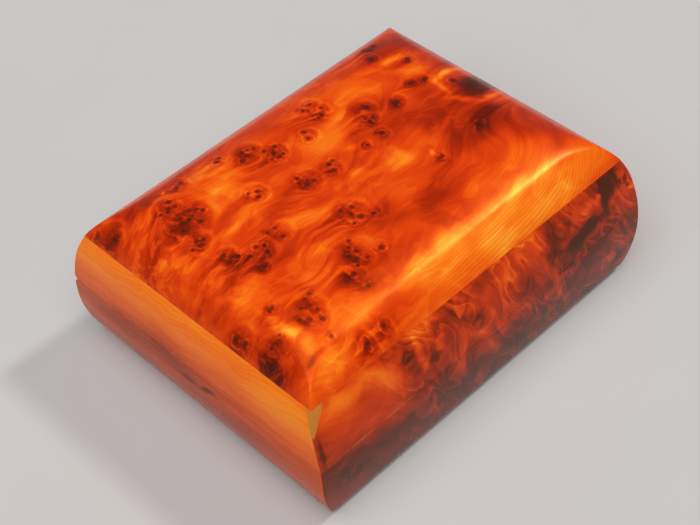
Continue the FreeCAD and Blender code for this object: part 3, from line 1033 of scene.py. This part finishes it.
def paint(piece, depth, fields, edge):
    """Stores a figure's values on a piece's points."""
    grain = np.stack([fields["run"], fields["cross"], depth], 1) * MM
    store(piece.data, "grain", grain, "FLOAT_VECTOR", "vector")
    for name in ("tone", "eyes", "crowd", "tails", "curl", "rings", "figure"):
        store(piece.data, name, fields[name])
    store(piece.data, "edge", edge)


def paint_board(piece, side):
    """Figure of a side board, which the lid and the base share, with the painted highlight along its parting
    edges.
    """
    places = places_of(piece.data)
    x, y, z = places.T / MM
    long_side = side in ("front", "back")
    across, depth = (x, y) if long_side else (y, x)
    half, curve = (half_width, LONG_CURVE) if long_side else (half_length, END_CURVE)
    level = places[:, 2]
    behind = half - inset_at(level, curve) - np.abs(depth) * MM
    # Mask of the painted highlight: the outer rounding of the parting edges, within 0.32 mm of the parting
    from_parting = np.minimum(np.abs(level - base_height), np.abs(level - lid_level))
    edge = np.clip(1 - from_parting / (0.32 * MM), 0, 1) * np.clip(1 - behind / (2 * parting_arris), 0, 1)
    parting_highlight = 0.3
    if side == "front":
        curls = 0.07 + 0.25 * rising(across, -50, 14)
        fields = figure_fields(across, z, FRONT_EYES, FRONT_KNOTS, FRONT_TONES, 0.40, front_sweep, curls)
        # Painted shade: the front is darker towards the bottom, from 34 mm height down, fully so below 22 mm
        fields["tone"] -= 0.16 * rising(-z, -34, 12)
        # Stronger painted highlight on the front's parting edge towards the left end, weaker elsewhere
        parting_highlight = np.where(x < -37, 0.6, 0.15)
    elif side == "back":
        eyes, knots, tones = random_figure(half_length / MM, seam_level / MM, 14)
        fields = figure_fields(across, z, eyes, knots, tones, 0.42, front_sweep, 0.25)
    elif side == "right":
        fields = figure_fields(across, z, RIGHT_EYES, [], RIGHT_TONES, 0.60, end_sweep)
    else:
        fields = figure_fields(across, z, [], [], LEFT_TONES, 0.60, end_sweep)
        # Painted light and shade: the left end is made lighter above 36 mm height and darker below it
        fields["tone"] += 0.26 * np.clip((z - 36) / 9, -0.8, 1)
    paint(piece, depth, fields, parting_highlight * edge)


# The domed board, grown from a grid by a rule

def dome_tree():
    """Grid laid over the lid and lowered to the shoulders, closed underneath."""
    tree = bpy.data.node_groups.new("domed_board", "GeometryNodeTree")
    tree.is_modifier = True
    tree.interface.new_socket("Geometry", in_out="OUTPUT", socket_type="NodeSocketGeometry")
    lengths = (
        "Flat Half Length", "Flat Half Width", "Shoulder Radius", "Crown Level", "Board Thickness",
        "Crown Rise", "Hip Softness", "Flat Share",
    )
    kinds = {**dict.fromkeys(lengths, FLOAT), "Cells": "NodeSocketInt"}
    kinds.update(dict.fromkeys(("Finish", "Inside"), "NodeSocketMaterial"))
    for name, kind in kinds.items():
        tree.interface.new_socket(name, in_out="INPUT", socket_type=kind)
    size = named_values(add(tree, "NodeGroupInput").outputs)
    radius, thickness, crown_bow = size["Shoulder Radius"], size["Board Thickness"], size["Crown Rise"]
    count = size["Cells"] + 1
    cells = {"Size X": 2.0, "Size Y": 2.0, "Vertices X": count, "Vertices Y": count}
    grid = value_of(tree, "GeometryNodeMeshGrid", cells)
    spot = parts(value_of(tree, "GeometryNodeInputPosition"))
    ring = calc("MAXIMUM", abs(spot[0]), abs(spot[1]))

    # The flat of the crown takes the inner rings of the grid, and the shoulder's arc the outer ones
    full_turn = calc("ARCCOSINE", 1.0 - thickness / radius)
    turn = calc("MAXIMUM", ring - size["Flat Share"], 0.0) / (1.0 - size["Flat Share"]) * full_turn
    reach = radius * calc("SINE", turn)
    edge = radius * calc("SINE", full_turn)
    flat = calc("MINIMUM", ring / size["Flat Share"], 1.0)
    places, drops = [], []
    for axis, half in ((0, size["Flat Half Length"]), (1, size["Flat Half Width"])):
        place = (half * flat + reach) * (spot[axis] / calc("MAXIMUM", ring, 1e-5))
        over = calc("MAXIMUM", abs(place) - half, 0.0)
        chord = calc("SQRT", radius ** 2.0 - over ** 2.0)
        bow = crown_bow * (abs(place) / (half + edge)) ** 2.0
        places.append(place)
        drops.append((radius - chord) * (1.0 - crown_bow / thickness) + bow)

    # Where the two shoulders meet, the hip is rounded, most of all near the crown
    deep = calc("MAXIMUM", *drops)
    level = deep / thickness
    greatest = 0.2 * 0.8 ** 4
    fading = level * calc("MAXIMUM", 1.0 - level, 0.0) ** 4.0
    soft = calc("MAXIMUM", size["Hip Softness"] * (1 / greatest) * fading, same_place)
    near = calc("MAXIMUM", soft - abs(drops[0] - drops[1]), 0.0) / soft
    height = size["Crown Level"] - (deep + near ** 2.0 * (soft * 0.25))
    laid = value_of(tree, "GeometryNodeSetPosition", {"Geometry": grid, "Position": joined(*places, height)})
    domed = value_of(tree, "GeometryNodeSetMaterial", {"Geometry": laid, "Material": size["Finish"]})

    # The underside fills the outline at the level of the seam
    rim = value_of(tree, "GeometryNodeInputMeshEdgeNeighbors")
    at_rim = value_of(tree, "FunctionNodeCompare", {"A": rim, "B": 1}, data_type="INT", operation="EQUAL")
    outline = value_of(tree, "GeometryNodeMeshToCurve", {"Mesh": laid, "Selection": at_rim})
    under = value_of(tree, "GeometryNodeFillCurve", {"Curve": outline})
    lift = joined(0.0, 0.0, size["Crown Level"] - thickness)
    under = value_of(tree, "GeometryNodeTransform", {"Geometry": under, "Translation": lift})
    under = value_of(tree, "GeometryNodeFlipFaces", {0: under})
    under = value_of(tree, "GeometryNodeSetMaterial", {"Geometry": under, "Material": size["Inside"]})
    both = add(tree, "GeometryNodeJoinGeometry", {0: under})
    put(both.inputs[0], domed)
    whole = Value(both.outputs[0])
    whole = value_of(tree, "GeometryNodeMergeByDistance", {"Geometry": whole, "Distance": merge_distance})
    whole = value_of(tree, "GeometryNodeRealizeInstances", {0: whole})
    put(add(tree, "NodeGroupOutput").inputs[0], whole)
    return tree


def set_inputs(modifier, values):
    """Sets a modifier's inputs by their names."""
    for item in modifier.node_group.interface.items_tree:
        if item.item_type == "SOCKET" and item.in_out == "INPUT" and item.name in values:
            modifier[item.identifier] = values[item.name]


def make_dome(finish, inside):
    piece = as_object("domed_top", bmesh.new())
    modifier = piece.modifiers.new("dome", "NODES")
    modifier.node_group = dome_tree()
    set_inputs(modifier, {
        "Flat Half Length": shoulder_middle(half_length, end_bulge),
        "Flat Half Width": shoulder_middle(half_width, front_bulge),
        "Shoulder Radius": shoulder_radius,
        "Crown Level": crown_level,
        "Board Thickness": crown_level - seam_level,
        "Crown Rise": crown_rise,
        "Hip Softness": hip_softness,
        "Flat Share": flat_share,
        "Cells": dome_cells,
        "Finish": finish,
        "Inside": inside,
    })
    return plain_mesh(piece)


def smooth(piece):
    """Smooth shading with crisp joints."""
    piece.data.shade_smooth()
    piece.data.set_sharp_from_angle(angle=crisp_angle)
    piece.data.update()


def mark_inside(mesh):
    """Gives the faces towards the hollow the second material, which is left unlacquered."""
    centres = np.empty(3 * len(mesh.polygons))
    mesh.polygons.foreach_get("center", centres)
    away_x, away_y, _ = np.abs(centres.reshape(-1, 3)).T
    margin = 0.6 * inner_arris - wall_thickness
    within_x = away_x < half_length + margin
    within_y = away_y < half_width + margin
    mesh.polygons.foreach_set("material_index", (within_x & within_y).astype(np.int32))


def finish_piece(piece, body, node, materials):
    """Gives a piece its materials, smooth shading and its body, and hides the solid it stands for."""
    if materials:
        piece.data.materials.clear()
        for material in materials:
            piece.data.materials.append(material)
        mark_inside(piece.data)
    smooth(piece)
    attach(piece, body)
    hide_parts(node)


# Studio

def make_camera():
    """The photo's view, from a bearing round the box, a height and a tilt, all in degrees."""
    bearing, height, tilt = (math.radians(value) for value in (-41.4, 46.3, 4.8))
    distance = 570.0 * MM
    target = Vector((-4.9, 0.2, 23.5)) * MM
    level = Vector((math.sin(bearing), -math.cos(bearing), 0))
    back = level * math.cos(height) + Vector((0, 0, math.sin(height)))
    right = (-back).cross(Vector((0, 0, 1))).normalized()
    up = right.cross(-back)
    across = math.cos(tilt) * right - math.sin(tilt) * up
    upward = math.sin(tilt) * right + math.cos(tilt) * up
    camera = bpy.data.objects.new("camera", bpy.data.cameras.new("camera"))
    bpy.context.scene.collection.objects.link(camera)
    turn = Matrix((across, upward, back)).transposed().to_4x4()
    camera.matrix_world = Matrix.Translation(target + back * distance) @ turn
    camera.data.lens = 79.1
    camera.data.sensor_width = 36
    camera.data.clip_start = 0.01
    bpy.context.scene.camera = camera


def sun(name, direction, strength, spread, colour):
    """Lamp far away in a direction, spread over some degrees."""
    lamp = bpy.data.objects.new(name, bpy.data.lights.new(name, "SUN"))
    bpy.context.scene.collection.objects.link(lamp)
    lamp.data.energy = strength
    lamp.data.angle = math.radians(spread)
    lamp.data.color = colour
    lamp.rotation_euler = Vector(direction).to_track_quat("Z", "Y").to_euler()


def make_floor():
    shape = bmesh.new()
    bmesh.ops.create_grid(shape, x_segments=1, y_segments=1, size=4.0)
    floor = as_object("floor", shape)
    material, tree, surface = shader_tree("pale_floor")
    mist = noise_at(object_place(tree), 6.0, 3.0)
    put(surface["Base Color"], blend_colour(mist, (0.50, 0.50, 0.51), (0.55, 0.55, 0.56)))
    put(surface["Roughness"], mist * 0.1 + 0.7)
    surface["Specular IOR Level"].default_value = 0.2
    floor.data.materials.append(material)


def make_lights():
    """A plain grey sky, a little brighter near the ground, a broad lamp and a narrow one."""
    world = bpy.data.worlds.new("studio")
    bpy.context.scene.world = world
    world.use_nodes = True
    tree = world.node_tree
    direction = value_of(tree, "ShaderNodeTexCoord", output="Generated")
    shade = fade(parts(direction)[2], 0.02, 0.25, 0.26, 0.11)
    put(tree.nodes["Background"].inputs["Color"], joined(shade, shade, shade))
    sun("key_light", (-0.38, -0.20, 0.903), strength=2.6, spread=70, colour=(1.0, 0.98, 0.96))
    sun("shoulder_light", (0.59, -0.20, 0.78), strength=1.0, spread=8, colour=(1.0, 0.95, 0.86))
    bpy.context.scene.view_settings.view_transform = "Standard"


def make_materials():
    """All materials of the box, by name."""
    groups = {
        "fibres": wood_fibres_group(),
        "eyes": burl_eyes_group(),
        "growth": growth_lines_group(),
        "lacquer": lacquer_group(),
        # This group paints the highlight along the parting edges
        "parting_highlight": painted_highlight_group(),
    }
    return {
        "burl": burl_material(groups),
        "plain": plain_material(groups),
        "inside": sawn_material(groups, "inside_wood", INSIDE_TONES, 0.42, 0.15),
        "pale": sawn_material(groups, "pale_inlay", PALE_TONES, 0.30, 0.02, math.pi / 3),
        "bottom": sawn_material(groups, "bottom_board_wood", BOTTOM_TONES, 0.50, 0.05),
        "brass": metal_material(groups, "hinge_brass_drawn", (0.86, 0.60, 0.24), (0.52, 0.34, 0.13), 0.30),
        "steel": metal_material(groups, "pin_steel_drawn", (0.62, 0.62, 0.62), (0.36, 0.35, 0.34), 0.32),
    }


def build():
    woods = make_materials()
    burl, inside, pale = woods["burl"], woods["inside"], woods["pale"]
    dome = make_dome(burl, inside)
    x, y, z = places_of(dome.data).T / MM
    fields = figure_fields(x, y, TOP_EYES, TOP_KNOTS, TOP_TONES, 0.58, top_sweep, 0.10)
    paint(dome, z, fields, np.zeros_like(x))
    finish_piece(dome, "lid", "top_panel", None)

    boards = make_boards()
    for part, body in (("base", "root"), ("lid", "lid")):
        for side in SIDES:
            piece = boards[f"{part}_{side}"]
            paint_board(piece, side)
            slot, finish = ("burl", burl) if side in ("front", "back") else ("plain_wood", woods["plain"])
            finish_piece(piece, body, f"{part}_{side}_board", [finish, inside])
    finish_piece(boards["corner_inlay"], "lid", "corner_patch", [pale, pale])

    for name, piece in frame["nodes"].items():
        if piece.hide_render:
            continue
        finish = woods["bottom" if name == "bottom_panel" else "steel" if "pin" in name else "brass"]
        for slot in piece.material_slots:
            slot.material = finish


build()
make_camera()
make_floor()
make_lights()
